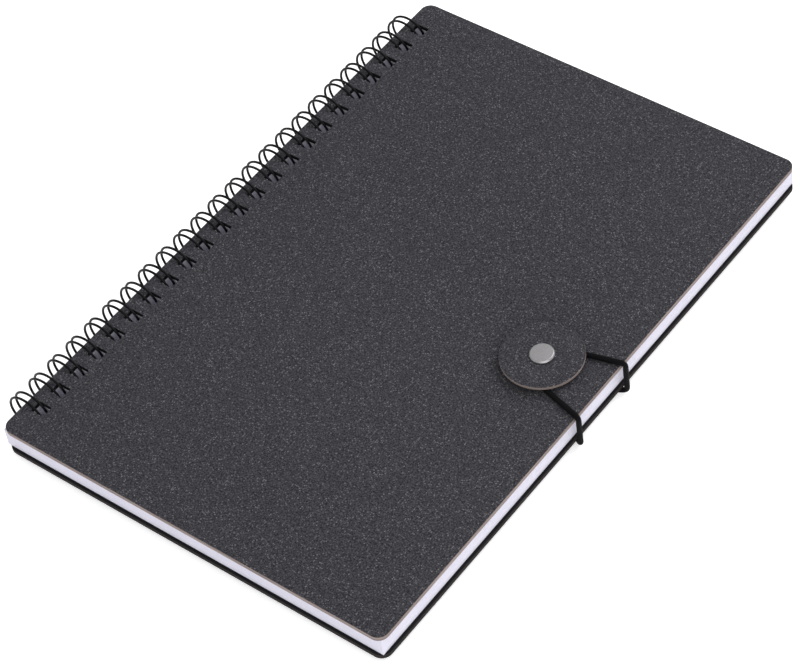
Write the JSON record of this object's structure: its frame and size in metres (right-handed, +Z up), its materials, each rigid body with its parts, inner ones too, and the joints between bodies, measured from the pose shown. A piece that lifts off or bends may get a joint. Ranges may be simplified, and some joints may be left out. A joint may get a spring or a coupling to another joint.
{
  "type": "spiral notebook",
  "caption": "Wire-bound A5 notebook with dark flecked board covers, white pages, and a round board button on a rivet that holds an elastic cord looped over the fore edge.",
  "frame": {"origin": "middle of the footprint, on the surface that the notebook lies on", "axes": "+X from the wire binding to the fore edge, +Y along the spine from the lower edge to the upper edge, +Z up out of the front cover"},
  "size_m": [0.1501, 0.21, 0.0161],
  "materials": {
    "cover_board": "matt printed board with fine pale flecks, raw brown cut edges",
    "pages": "smooth white writing paper",
    "wire": "black nylon-coated steel wire, soft gloss",
    "button_board": "matt printed board with fine pale flecks, raw brown cut edge",
    "spacer": "plain black board",
    "rivet": "satin nickel-plated steel",
    "elastic": "round black braided elastic with a soft sheen"
  },
  "bodies": {
    "pages": {"page_block": "pages"},
    "front": {"front_cover": "cover_board", "button_spacer": "spacer", "button_rivet": "rivet", "button_flange": "rivet"},
    "back": {"back_cover": "cover_board", "wire_binding": "wire", "elastic_loop": "elastic", "anchor_rivet": "rivet", "anchor_flange": "rivet"},
    "button": {"button_disc": "button_board"}
  },
  "joints": [
    {"name": "front_cover_turn", "type": "hinge", "parent": "pages", "child": "front", "pos_m": [-0.06805, 0, 0.00735], "axis": [0, -1, 0], "range_deg": [0, 180], "deforming": ["elastic_loop"]},
    {"name": "back_cover_turn", "type": "hinge", "parent": "pages", "child": "back", "pos_m": [-0.06805, 0, 0.00735], "axis": [0, 1, 0], "range_deg": [0, 180], "deforming": ["elastic_loop"]},
    {"name": "button_spin", "type": "hinge", "parent": "front", "child": "button", "pos_m": [0.05265, -0.0001, 0.0147], "axis": [0, 0, 1], "continuous": true, "deforming": ["elastic_loop"]}
  ]
}
